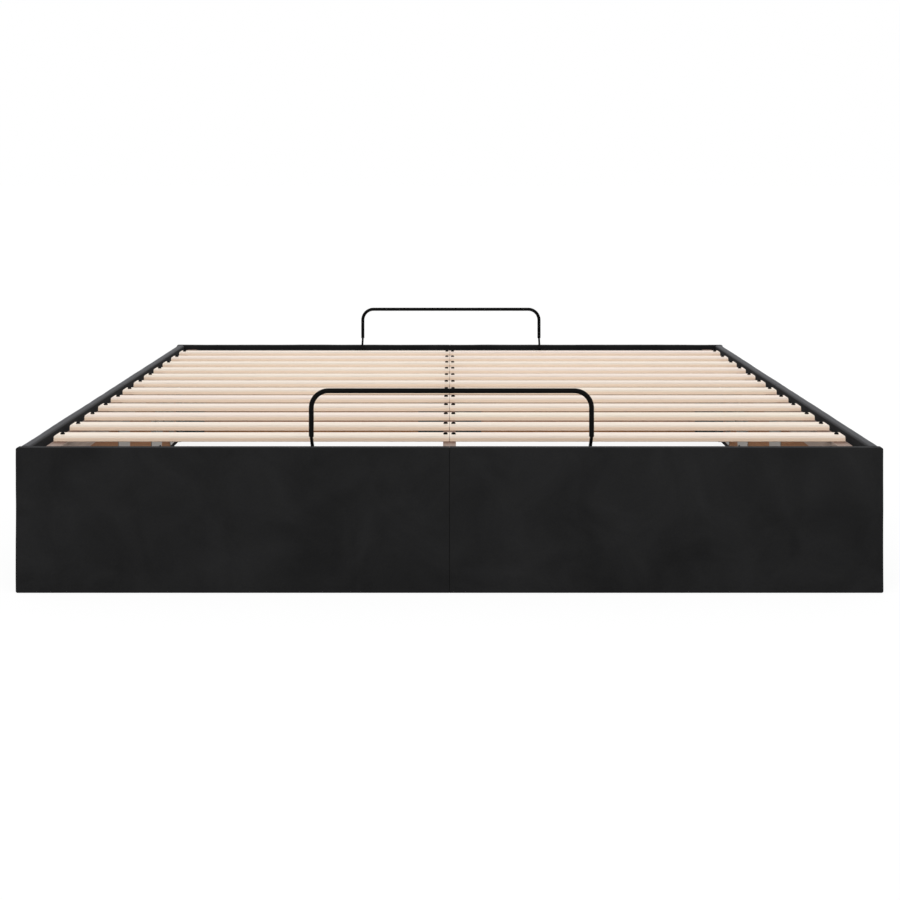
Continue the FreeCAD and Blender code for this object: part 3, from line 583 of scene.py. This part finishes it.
def panel_cage():
    """Cage of the foot wall's right half with its opening, and a mask of what the board holds still."""
    low, high = panel_low, panel_high
    opening_x, inner_y = board_inner_x - BOARD_CLEARANCE, high[1] - CLOTH
    points, quads = cage(
        divided(low[0], high[0], SEAM_RADIUS, WALL_RADIUS, opening_x),
        divided(low[1], high[1], WALL_RADIUS, WALL_RADIUS, inner_y, low[1] + SEAM_DEPTH + SEAM_FADE),
        divided(low[2], high[2], WALL_RADIUS, WALL_RADIUS,
                hem_z, BOTTOM_TURN, high[2] - SEAM_DEPTH - SEAM_FADE))

    def is_open(x, y, z):
        inside = BOTTOM_TURN < z < hem_z and x < opening_x and y > inner_y
        return inside and min(abs(x - low[0]), abs(y - high[1])) < SAME_PLACE

    def radii(sx, sy, sz):
        return (WALL_RADIUS if sx > 0 else 0.0, WALL_RADIUS if sy < 0 else WALL_INNER_RADIUS, WALL_RADIUS)

    kept = [quad for quad in quads if not is_open(*points[quad].mean(axis=0))]
    points = roll_in(round_off(points, low, high, radii), 0, low[0], low, high)
    points[:, 2] += TOP_SWELL * np.clip(1 - (high[2] - points[:, 2]) / SWELL_FADE, 0, 1)
    depth = points[:, 1] - low[1]
    points[:, 0] += seam_step(points[:, 0] - low[0], np.minimum(depth, high[2] - points[:, 2]))
    return points, kept, held_still(depth, PANEL_FREE_DEPTH, points[:, 0] - low[0], points[:, 2])


# %% Side wall, right half towards the head
def rail_cage():
    """Cage of the right side wall's head half with its opening, and a mask of what the board holds still."""
    low, high = rail_low, rail_high
    inner_x = low[0] + CLOTH
    points, quads = cage(
        divided(low[0], high[0], RAIL_INNER_RADIUS, RAIL_OUTER_RADIUS, inner_x),
        divided(low[1], high[1], SEAM_RADIUS, SEAM_RADIUS),
        divided(low[2], high[2], RAIL_LOW_RADIUS, RAIL_OUTER_RADIUS, hem_z, BOTTOM_TURN))

    def is_open(x, y, z):
        inside = BOTTOM_TURN < z < hem_z and x < inner_x
        return inside and min(abs(x - low[0]), abs(y - low[1]), abs(y - high[1])) < SAME_PLACE

    def radii(sx, sy, sz):
        upper = RAIL_OUTER_RADIUS if sx > 0 else RAIL_INNER_RADIUS
        radius = upper if sz > 0 else RAIL_LOW_RADIUS
        return (radius, 0.0, radius)

    kept = [quad for quad in quads if not is_open(*points[quad].mean(axis=0))]
    points = round_off(points, low, high, radii)
    for end in (low[1], high[1]):
        points = roll_in(points, 1, end, low, high)
    depth = high[0] - points[:, 0]
    points[:, 1] += seam_step(points[:, 1] - low[1], np.minimum(depth, high[2] - points[:, 2]))
    from_end = np.minimum(points[:, 1] - low[1], high[1] - points[:, 1])
    return points, kept, held_still(depth, RAIL_FREE_DEPTH, from_end, points[:, 2])


panel_shape, rail_shape = panel_cage(), rail_cage()
print("panel cage", len(panel_shape[0]), "points; side wall cage", len(rail_shape[0]), "points")

# %% [markdown]
# ## Swelling the foam
# The Cloth modifier runs on a scratch object for twenty frames with gravity off and a small pressure.
# Points on the board side are pinned. Its result is read back as plain coordinates and softly capped, so a
# point that wants to move far moves at most the foam's thickness. Only the outward part of the movement is
# taken, and it fades out towards the wall's edges, where the cloth is drawn tight over the board. Only one
# panel half and one side wall half are simulated; the others are mirror images with their own slight
# unevenness.

# %% Simulate one half of each wall
FOAM_SWELL = 0.0022
CLOTH_FRAMES = 20


def swell(name, shape, outward, low, high):
    """Coordinates of a cage after a short cloth simulation under pressure, softly capped."""
    points, quads, held = shape
    mesh = bpy.data.meshes.new(name)
    mesh.from_pydata(points.tolist(), [], quads)
    scratch = add_object(name, mesh)
    pins = scratch.vertex_groups.new(name="held")
    for n, weight in enumerate(held):
        pins.add([n], float(weight), "REPLACE")
    cloth = scratch.modifiers.new("cloth", "CLOTH")
    cloth.settings.quality = 4
    cloth.settings.mass = 0.35
    cloth.settings.use_pressure = True
    cloth.settings.uniform_pressure_force = 4.0
    cloth.settings.effector_weights.gravity = 0.0
    cloth.settings.vertex_group_mass = "held"
    cloth.collision_settings.use_collision = False
    cloth.point_cache.frame_start, cloth.point_cache.frame_end = 1, CLOTH_FRAMES
    for step in range(1, CLOTH_FRAMES + 1):
        scene.frame_set(step)
    settled = scratch.evaluated_get(bpy.context.evaluated_depsgraph_get())
    after = np.empty(len(points) * 3)
    settled.data.vertices.foreach_get("co", after)
    moved = after.reshape(-1, 3) - points
    scene.frame_set(1)
    bpy.data.objects.remove(scratch)
    bpy.data.meshes.remove(mesh)
    flat = np.flatnonzero(outward == 0)
    from_edge = np.minimum(points - low, high - points)[:, flat].min(axis=1)
    push = np.clip(moved @ outward, 0, None) * np.clip(from_edge / SWELL_FADE, 0, 1)
    print(name, "wants to swell by", round(float(push.max()) * 1000, 2), "mm at most")
    return points + outward * (push * FOAM_SWELL / (push + FOAM_SWELL))[:, None]


panel_points = swell("panel_swell", panel_shape, np.array([0.0, -1.0, 0.0]), panel_low, panel_high)
rail_points = swell("rail_swell", rail_shape, np.array([1.0, 0.0, 0.0]), rail_low, rail_high)
print("panel face now at", round(float(panel_points[:, 1].min()), 4))


# %% [markdown]
# ## Eight covers from two shapes
# A mirror image turns a mesh inside out, so the order of each quad's corners is turned round again. A slow
# unevenness, different on every piece because it is read at the piece's own place, keeps the halves from
# being copies. Solidify then gives the cloth its own thickness inwards, with a visible cut edge at the hem.


# %% Make the covers
UNEVENNESS = ((9.0, 0.0007), (31.0, 0.00022))
CUT_WAVES, CUT_SWAY = 24.0, 0.0022
ON_HEM, ON_BOARD = 1e-5, 1e-4
FOLD_ANGLE = 55


def make_plain(piece, sharp_degrees):
    """A piece's modifiers turned into a plain, smooth mesh of its own, with the sharp edges marked."""
    before = piece.data
    solid = bpy.data.meshes.new_from_object(piece.evaluated_get(bpy.context.evaluated_depsgraph_get()))
    piece.modifiers.clear()
    piece.data = solid
    bpy.data.meshes.remove(before)
    solid.name = piece.name
    solid.shade_smooth()
    solid.set_sharp_from_angle(angle=math.radians(sharp_degrees))


def cover(name, shape, points, flip_x, flip_y):
    """One velvet cover: mirrored, slightly uneven, with the cloth's thickness."""
    _, quads, held = shape
    placed = points * np.array([-1.0 if flip_x else 1.0, -1.0 if flip_y else 1.0, 1.0])
    mesh = bpy.data.meshes.new(name)
    mesh.from_pydata(placed.tolist(), [], [q[::-1] for q in quads] if flip_x != flip_y else quads)
    mesh.update()
    normals = np.empty(len(placed) * 3)
    mesh.vertices.foreach_get("normal", normals)
    drift = [sum(noise.noise(Vector(p) * waves) * rise for waves, rise in UNEVENNESS) for p in placed]
    uneven = placed + normals.reshape(-1, 3) * (np.array(drift) * (1.0 - held))[:, None]
    cut_edge = np.abs(placed[:, 2] - hem_z) < ON_HEM
    within_y = np.abs(placed[:, 1]) < panel_inner_y + ON_BOARD
    within_x = np.abs(placed[:, 0]) < board_inner_x + ON_BOARD
    for n in np.flatnonzero(cut_edge & within_y & within_x):
        uneven[n, 2] += noise.noise(Vector(placed[n]) * CUT_WAVES) * CUT_SWAY
    mesh.vertices.foreach_set("co", uneven.ravel())
    mesh.update()
    piece = add_object(name, mesh)
    wall = piece.modifiers.new("cloth_thickness", "SOLIDIFY")
    wall.thickness, wall.offset, wall.use_even_offset = CLOTH, -1.0, True
    make_plain(piece, FOLD_ANGLE)
    piece.data.materials.append(VELVET)
    return piece


covers = {}
for end, flip_y in (("foot", False), ("head", True)):
    for side, flip_x in (("right", False), ("left", True)):
        covers[f"{end}_cover_{side}"] = cover(
            f"{end}_velvet_{side}", panel_shape, panel_points, flip_x, flip_y)
        covers[f"rail_cover_{side}_{end}"] = cover(
            f"rail_velvet_{side}_{end}", rail_shape, rail_points, flip_x, not flip_y)
for node_name, piece in covers.items():
    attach(piece, "bed_frame")
    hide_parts(node_name)
print("covers", len(covers), "with", sum(len(p.data.polygons) for p in covers.values()), "faces")

# %% [markdown]
# ## Screw and bolt heads, many times over
# The CAD model gives each fastener a plain head on a shank. Close to, a real head has a crown, a rim and a
# recess for the tool: the slat bolts take a hex key, the screws a cross bit. The shanks stay out of sight in
# the wood, so only heads are made. Their seats are read from the CAD parts: each loose shell is one fastener,
# its long side gives the axis, and its widest ring the head.


# %% Seats of the CAD fasteners
SAME_POINT = 1e-6
HEAD_SHARE = 0.7


def loose_shells(name):
    """Coordinates of each loose shell of a CAD node, in the bed's frame."""
    shells, whole = [], bmesh.new()
    whole.from_mesh(nodes[name].data)
    bmesh.ops.remove_doubles(whole, verts=whole.verts, dist=SAME_POINT)
    waiting = set(whole.verts)
    while waiting:
        edge_of_search, found = [waiting.pop()], []
        while edge_of_search:
            vertex = edge_of_search.pop()
            found.append(nodes[name].matrix_world @ vertex.co)
            fresh = waiting.intersection(edge.other_vert(vertex) for edge in vertex.link_edges)
            waiting -= fresh
            edge_of_search += fresh
        shells.append(np.array(found))
    whole.free()
    return shells


def fastener_seats(name):
    """Seat, outward direction, head radius and head height of every fastener in a CAD node."""
    seats = []
    for points in loose_shells(name):
        low, high = points.min(axis=0), points.max(axis=0)
        axis = int(np.argmax(high - low))
        centre = (low + high) / 2
        across = points - centre
        across[:, axis] = 0
        spread = np.linalg.norm(across, axis=1)
        head = points[spread > HEAD_SHARE * spread.max(), axis]
        outward = np.zeros(3)
        outward[axis] = 1.0 if head.mean() > centre[axis] else -1.0
        seat, tip = (head.min(), high[axis]) if outward[axis] > 0 else (head.max(), low[axis])
        centre[axis] = seat
        seats.append((centre, outward, spread.max(), abs(tip - seat)))
    return sorted(seats, key=lambda one: tuple(one[0].round(5)))


fasteners = {name: fastener_seats(name) for name in ("slat_bolts", "wall_screws", "platform_screws")}
for name, seats in fasteners.items():
    sizes = sorted({(round(float(r), 4), round(float(h), 4)) for _, _, r, h in seats})
    print(name, len(seats), "seats, head radius and height", sizes)

# %% [markdown]
# One Geometry Nodes tree makes the head, like a lathe: one side of a small grid goes round, the other runs
# along the profile from the rim, over the crown and down into the recess. Two short lists hold the profile
# as shares of the head's radius and height. The recess rings are pushed in and out round the circle, a
# little for six corners, a lot for a cross. The tree then sets a head on every seat, scaled by the sizes
# kept with the seat and turned at random, as a driver leaves it.


# %% Tree helpers
def listed(tree, kind, index, values):
    """Output of an Index Switch that picks one of the listed values."""
    node = tree.nodes.new("GeometryNodeIndexSwitch")
    node.data_type = kind
    while len(node.index_switch_items) < len(values):
        node.index_switch_items.new()
    fill(tree, node.inputs, {"Index": index, **dict(enumerate(values, start=1))})
    return node.outputs[0]


def kept_value(tree, kind, name):
    """A named value that the input mesh carries at every point."""
    return add_node(tree, "GeometryNodeInputNamedAttribute", {"Name": name}, data_type=kind)["Attribute"]


def turned_to(tree, axis, direction, pivot="AUTO", **start):
    """A rotation that turns an axis towards a direction, from a starting Rotation if there is one."""
    return add_node(tree, "FunctionNodeAlignRotationToVector", {"Vector": direction, **start},
                    axis=axis, pivot_axis=pivot)[0]


def moved_to(tree, geometry, position):
    """Geometry with its points at a new position."""
    return add_node(tree, "GeometryNodeSetPosition", {"Geometry": geometry, "Position": position})[0]


def set_out(tree, points, instance, **values):
    """An instance on every point."""
    values = {"Points": points, "Instance": instance, **values}
    return add_node(tree, "GeometryNodeInstanceOnPoints", values)[0]


def finish_tree(tree, instances, low, high, dials, results):
    """The end of a tree: instances turned about their own Z by a random angle, made real, in a material."""
    bounds = {"Min": low, "Max": high, "Seed": dials["Seed"]}
    chance = add_node(tree, "FunctionNodeRandomValue", bounds, data_type="FLOAT")
    turn = {"Axis": (0.0, 0.0, 1.0), "Angle": chance["Value"]}
    angle = add_node(tree, "FunctionNodeAxisAngleToRotation", turn)
    spun = add_node(tree, "GeometryNodeRotateInstances", {"Instances": instances, "Rotation": angle[0]})
    real = add_node(tree, "GeometryNodeRealizeInstances", {0: spun[0]})
    paint = {"Geometry": real[0], "Material": dials["Material"]}
    fill(tree, results, {"Geometry": add_node(tree, "GeometryNodeSetMaterial", paint)[0]})


def keep_value(mesh, label, values):
    """Numbers or vectors kept at the points of a mesh under a name."""
    kind, field = ("FLOAT", "value") if np.ndim(values) == 1 else ("FLOAT_VECTOR", "vector")
    mesh.attributes.new(label, kind, "POINT").data.foreach_set(field, np.ravel(values))


def grown(name, mesh, tree, values, sharp_degrees):
    """A plain mesh object that a tree grows from an input mesh, with the tree's named inputs set first."""
    piece = add_object(name, mesh)
    modifier = piece.modifiers.new("grow", "NODES")
    modifier.node_group = tree
    for item in tree.interface.items_tree:
        if item.in_out == "INPUT" and item.name in values:
            modifier[item.identifier] = values[item.name]
    make_plain(piece, sharp_degrees)
    return piece


print("tree helpers ready")

# %% The head tree
HEAD_SIDES, GRID_HALF = 12, 0.5
HEAD_RADII = (1.0, 1.0, 0.94, 0.78, 0.60, 0.48, 0.42, 0.0)
HEAD_HEIGHTS = (0.0, 0.30, 0.62, 0.90, 1.0, 0.98, 0.45, 0.40)
RECESS_FROM = 4.5
CLOSE_GAP = 0.0005
# Tree: a head with a recess on every point, from the point's kept direction, radius and height.
inputs = {"Geometry": "Geometry", "Corners": "Float", "Lobe": "Float", "Recess": "Float",
          "Seed": "Int", "Material": "Material"}
tree, dials, results = new_tree("fastener_heads", inputs, {"Geometry": "Geometry"}, "GeometryNodeTree")
grid = add_node(tree, "GeometryNodeMeshGrid", {
    "Size X": 2 * GRID_HALF, "Size Y": 2 * GRID_HALF,
    "Vertices X": HEAD_SIDES + 1, "Vertices Y": len(HEAD_RADII)})
at = xyz(tree, tree.nodes.new("GeometryNodeInputPosition").outputs[0])
round_share, profile_share = (sums(tree, "ADD", at[axis], GRID_HALF) for axis in ("X", "Y"))
angle = sums(tree, "MULTIPLY", round_share, math.tau)
ring = sums(tree, "ROUND", sums(tree, "MULTIPLY", profile_share, len(HEAD_RADII) - 1.0))
radius = listed(tree, "FLOAT", ring, HEAD_RADII)
height = listed(tree, "FLOAT", ring, HEAD_HEIGHTS)
wave = sums(tree, "COSINE", sums(tree, "MULTIPLY", angle, dials["Corners"]))
lobes = sums(tree, "MULTIPLY_ADD", wave, dials["Lobe"], 1.0)
recess = sums(tree, "MULTIPLY", lobes, dials["Recess"])
in_recess = sums(tree, "GREATER_THAN", ring, RECESS_FROM)
factor = sums(tree, "MULTIPLY_ADD", sums(tree, "SUBTRACT", recess, 1.0), in_recess, 1.0)
reach = sums(tree, "MULTIPLY", radius, factor)
turned = joined(tree, X=sums(tree, "MULTIPLY", reach, sums(tree, "COSINE", angle)),
                Y=sums(tree, "MULTIPLY", reach, sums(tree, "SINE", angle)), Z=height)
lathe = moved_to(tree, grid["Mesh"], turned)
closed = add_node(tree, "GeometryNodeMergeByDistance", {"Geometry": lathe, "Distance": CLOSE_GAP})
wide = kept_value(tree, "FLOAT", "head_radius")
size = joined(tree, X=wide, Y=wide, Z=kept_value(tree, "FLOAT", "head_height"))
upright = turned_to(tree, "Z", kept_value(tree, "FLOAT_VECTOR", "outward"))
heads = set_out(tree, dials["Geometry"], closed[0], Rotation=upright, Scale=size)
finish_tree(tree, heads, 0.0, math.tau, dials, results)
HEAD_TREE = tree
print("tree", HEAD_TREE.name, "with", len(HEAD_TREE.nodes), "nodes")


# %% Heads on their seats
HEAD_ANGLE = 38
HEX = {"Corners": 6.0, "Lobe": 0.072, "Recess": 1.0}
CROSS = {"Corners": 4.0, "Lobe": 0.42, "Recess": 0.82}


def fastener_heads(name, node_name, recess, seed):
    """Heads in place of the fasteners of a CAD node."""
    places, *columns = zip(*fasteners[node_name])
    mesh = bpy.data.meshes.new(name + "_seats")
    mesh.from_pydata([place.tolist() for place in places], [], [])
    for label, column in zip(("outward", "head_radius", "head_height"), columns):
        keep_value(mesh, label, column)
    values = {**recess, "Seed": seed, "Material": BLACK_STEEL}
    return grown(name, mesh, HEAD_TREE, values, HEAD_ANGLE)


for name, node_name, body, recess, seed in (
        ("slat_bolt_heads", "slat_bolts", "platform", HEX, 11),
        ("wall_screw_heads", "wall_screws", "bed_frame", CROSS, 12),
        ("platform_screw_heads", "platform_screws", "platform", CROSS, 13)):
    piece = fastener_heads(name, node_name, recess, seed)
    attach(piece, body)
    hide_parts(node_name)
    print(piece.name, len(piece.data.polygons), "faces")

# %% [markdown]
# ## Staples along the hems
# Inside the walls the turned cloth is held by a row of wire staples, put in by hand with a staple gun, so
# they are not quite in line. A second tree walks along a line on each hem, sets a bent piece of wire every
# seven centimetres and tilts each one a little. They show when the platform is up.

# %% The staple tree
STAPLE_LEG, STAPLE_LIFT = -0.0015, 0.0005
WIRE_SIDES = 6
# Tree: staples along the edges of the input mesh, flat on the face that their kept direction leaves.
inputs = {"Geometry": "Geometry", "Spacing": "Float", "Crown": "Float", "Wire": "Float",
          "Tilt": "Float", "Seed": "Int", "Material": "Material"}
tree, dials, results = new_tree("hem_staples", inputs, {"Geometry": "Geometry"}, "GeometryNodeTree")
line = add_node(tree, "GeometryNodeMeshToCurve", {"Mesh": dials["Geometry"]})
marks = add_node(tree, "GeometryNodeResampleCurve",
                 {"Curve": line[0], "Length": dials["Spacing"]}, mode="LENGTH")
corners = ((-0.5, 0.0, STAPLE_LEG), (-0.5, 0.0, STAPLE_LIFT), (0.5, 0.0, STAPLE_LIFT),
           (0.5, 0.0, STAPLE_LEG))
straight = add_node(tree, "GeometryNodeMeshLine", {"Count": len(corners)})
corner = listed(tree, "VECTOR", tree.nodes.new("GeometryNodeInputIndex").outputs[0], corners)
sized = vectors(tree, "MULTIPLY", corner, joined(tree, X=dials["Crown"], Y=1.0, Z=1.0))
bent = moved_to(tree, straight[0], sized)
path = add_node(tree, "GeometryNodeMeshToCurve", {"Mesh": bent})
round_wire = add_node(tree, "GeometryNodeCurvePrimitiveCircle", {
    "Resolution": WIRE_SIDES, "Radius": sums(tree, "MULTIPLY", dials["Wire"], 0.5)})
wire = add_node(tree, "GeometryNodeCurveToMesh", {
    "Curve": path[0], "Profile Curve": round_wire[0], "Fill Caps": True})
flat = turned_to(tree, "Z", kept_value(tree, "FLOAT_VECTOR", "outward"))
tangent = tree.nodes.new("GeometryNodeInputTangent").outputs[0]
along = turned_to(tree, "X", tangent, pivot="Z", Rotation=flat)
row = set_out(tree, marks[0], wire[0], Rotation=along)
finish_tree(tree, row, sums(tree, "MULTIPLY", dials["Tilt"], -1.0), dials["Tilt"], dials, results)
STAPLE_TREE = tree
print("tree", STAPLE_TREE.name, "with", len(STAPLE_TREE.nodes), "nodes")

# %% Staples on every hem
STAPLE_RISE, END_MARGIN = 0.011, 0.05
STAPLE_ANGLE = 40
STAPLE_FACES = 20
staple_z = hem_z + STAPLE_RISE
hem_y, hem_x = -panel_high[1], rail_low[0]
hem_lines = []
for one, other in product((1, -1), repeat=2):
    start, end_x, end_y = (other * v for v in (END_MARGIN, hem_x - END_MARGIN, hem_y - END_MARGIN))
    hem_lines.append(((start, one * hem_y), (end_x, one * hem_y), (0.0, -one, 0.0)))
    hem_lines.append(((one * hem_x, start), (one * hem_x, end_y), (-one, 0.0, 0.0)))
hem_mesh = bpy.data.meshes.new("hem_lines")
hem_mesh.from_pydata([(*p, staple_z) for line in hem_lines for p in line[:2]],
                     [(2 * n, 2 * n + 1) for n in range(len(hem_lines))], [])
keep_value(hem_mesh, "outward", [line[2] for line in hem_lines for _ in range(2)])
staple_values = {"Spacing": 0.07, "Crown": 0.0105, "Wire": 0.0011, "Tilt": 0.16, "Seed": 21,
                 "Material": STAPLE_STEEL}
staples = grown("hem_staples", hem_mesh, STAPLE_TREE, staple_values, STAPLE_ANGLE)
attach(staples, "bed_frame")
print("staples", len(staples.data.polygons) // STAPLE_FACES, "pieces,", len(staples.data.polygons), "faces")

# %% [markdown]
# ## The studio
# A pale floor that fades into a white background. The camera sees most of the floor as plain white, as in a
# cut-out product photograph, but part of it stays an ordinary matt surface, so the bed keeps its shadow.
# The light is an even white sky with one very wide, soft lamp high over the foot. It is a sun lamp, so
# the floor is lit the same everywhere and no horizon shows. Together they are at a level where a colour
# renders about as it is written.


# %% Floor and background
WHITE = (1.0, 1.0, 1.0, 1.0)
FLOOR_HALF = 90
WHITE_SHARE = 0.87


def camera_like_rays(tree):
    """1 for rays that show the background: from the camera, off glossy surfaces and through clear ones."""
    path = tree.nodes.new("ShaderNodeLightPath").outputs
    first = sums(tree, "ADD", path["Is Camera Ray"], path["Is Glossy Ray"], clamp=True)
    return sums(tree, "ADD", first, path["Is Transmission Ray"], clamp=True)


def mix_to_surface(tree, factor, first, second, end):
    """Two shaders, as the outputs of their nodes, mixed into a tree's end node."""
    both = add_node(tree, "ShaderNodeMixShader", {0: factor, 1: first[0], 2: second[0]})
    fill(tree, tree.nodes[end].inputs, {"Surface": both[0]})


def make_floor():
    material = bpy.data.materials.new("studio_floor")
    material.use_nodes = True
    tree = material.node_tree
    tree.nodes.remove(tree.nodes["Principled BSDF"])
    matt = add_node(tree, "ShaderNodeBsdfDiffuse", {"Color": (0.97, 0.97, 0.97, 1.0)})
    white = add_node(tree, "ShaderNodeEmission", {"Color": WHITE, "Strength": 1.02})
    share = sums(tree, "MULTIPLY", camera_like_rays(tree), WHITE_SHARE)
    mix_to_surface(tree, share, matt, white, "Material Output")
    return material


floor_mesh = bpy.data.meshes.new("studio_floor")
floor_corners = [(x * FLOOR_HALF, y * FLOOR_HALF, 0) for x, y in ((-1, -1), (1, -1), (1, 1), (-1, 1))]
floor_mesh.from_pydata(floor_corners, [], [(0, 1, 2, 3)])
floor_mesh.materials.append(make_floor())
floor = add_object("studio_floor", floor_mesh)
print("floor", floor.name)

# %% Sky and lamp
world = bpy.data.worlds.new("studio_sky")
scene.world = world
world.use_nodes = True
sky_tree = world.node_tree
sky_light = sky_tree.nodes["Background"]
fill(sky_tree, sky_light.inputs, {"Color": WHITE, "Strength": 0.62})
sky_white = add_node(sky_tree, "ShaderNodeBackground", {"Color": WHITE, "Strength": 1.0})
mix_to_surface(sky_tree, camera_like_rays(sky_tree), sky_light.outputs, sky_white, "World Output")

lamp_data = bpy.data.lights.new("overhead_softbox", "SUN")
lamp_data.energy = 1.62
lamp_data.angle = math.radians(70)
lamp = add_object("overhead_softbox", lamp_data)
lamp.location = (0.0, -2.0, 4.0)
lamp.rotation_euler = (math.radians(40), 0.0, 0.0)
print("sky", sky_light.inputs["Strength"].default_value, "lamp", lamp_data.energy)
